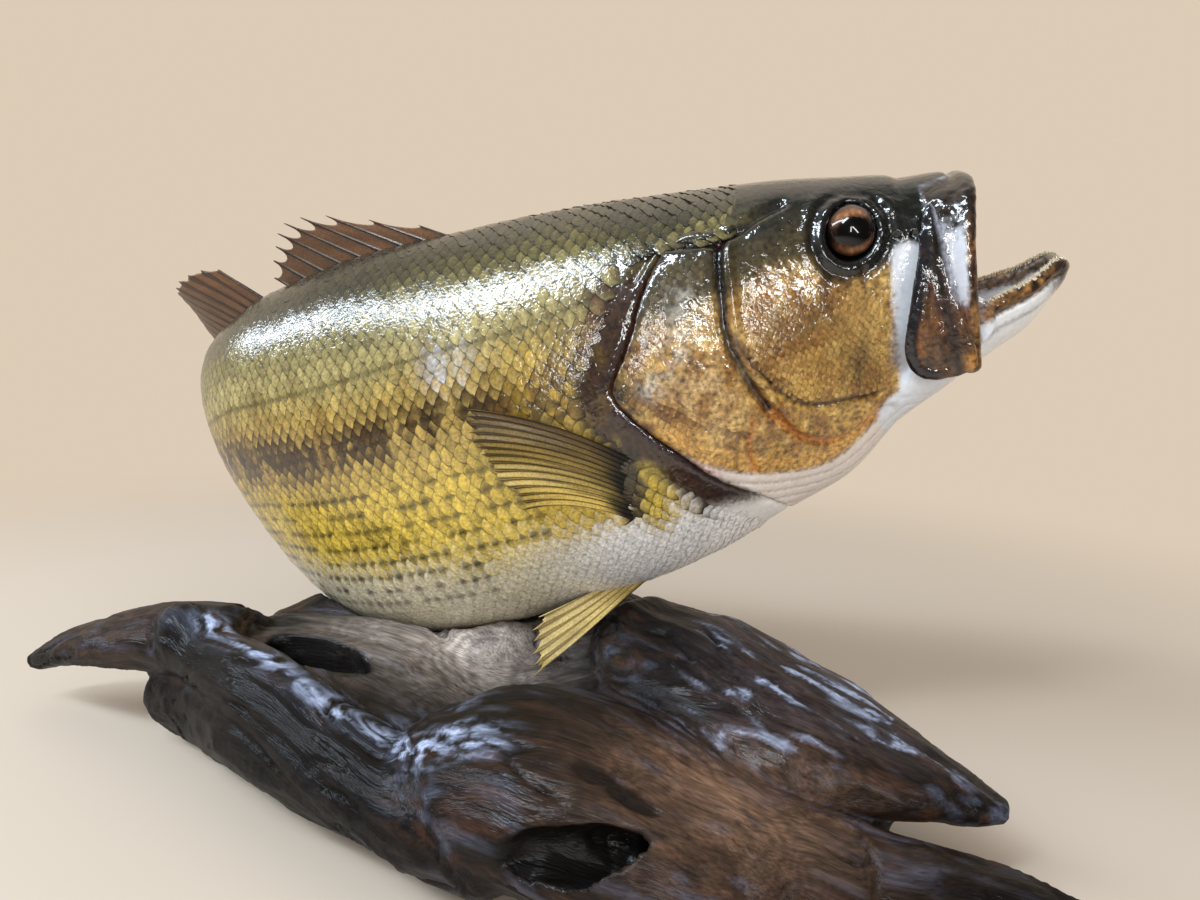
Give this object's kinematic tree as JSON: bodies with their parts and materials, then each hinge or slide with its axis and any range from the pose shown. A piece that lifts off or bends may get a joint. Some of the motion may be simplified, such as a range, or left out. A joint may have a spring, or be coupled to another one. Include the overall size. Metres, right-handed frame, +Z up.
{
  "type": "mounted largemouth bass",
  "caption": "Mounted freshwater bass with an open mouth, bent to one side and set on a low, gnarled driftwood pedestal that stands on a flat surface.",
  "frame": {"origin": "centre of the rectangle that the whole mount covers, on the surface it stands on", "axes": "+Z up; +X the way the head points; +Y the way the tail curls, to the fish's left; -Y the side the fish's right flank faces"},
  "size_m": [0.4414, 0.4122, 0.2576],
  "materials": {
    "scaled_skin": "clear-coated, glossy",
    "head_skin": "clear-coated, glossy",
    "pale_skin": "clear-coated, glossy",
    "lip_skin": "clear-coated, glossy",
    "dark_fin": "clear-coated, satin",
    "yellow_fin": "clear-coated, satin",
    "glass_eye": "polished",
    "driftwood": "oiled, semi-gloss"
  },
  "bodies": {
    "root": {"gill_cover_right": "head_skin", "gill_cover_left": "head_skin", "gill_membranes": "pale_skin", "head": "head_skin", "eye_right": "glass_eye", "eye_left": "glass_eye", "maxilla_right": "lip_skin", "maxilla_left": "lip_skin", "upper_lip": "lip_skin", "lower_jaw": "pale_skin", "trunk_front": "scaled_skin", "trunk_middle": "scaled_skin", "trunk_rear": "scaled_skin", "tail_stalk": "scaled_skin", "spiny_dorsal": "dark_fin", "soft_dorsal": "dark_fin", "anal_fin": "dark_fin", "tail_fin": "dark_fin", "pectoral_right": "yellow_fin", "pectoral_left": "yellow_fin", "pelvic_right": "yellow_fin", "pelvic_left": "yellow_fin", "driftwood_block": "driftwood", "driftwood_arm": "driftwood", "driftwood_swirl": "driftwood", "driftwood_fluke": "driftwood"}
  },
  "joints": []
}
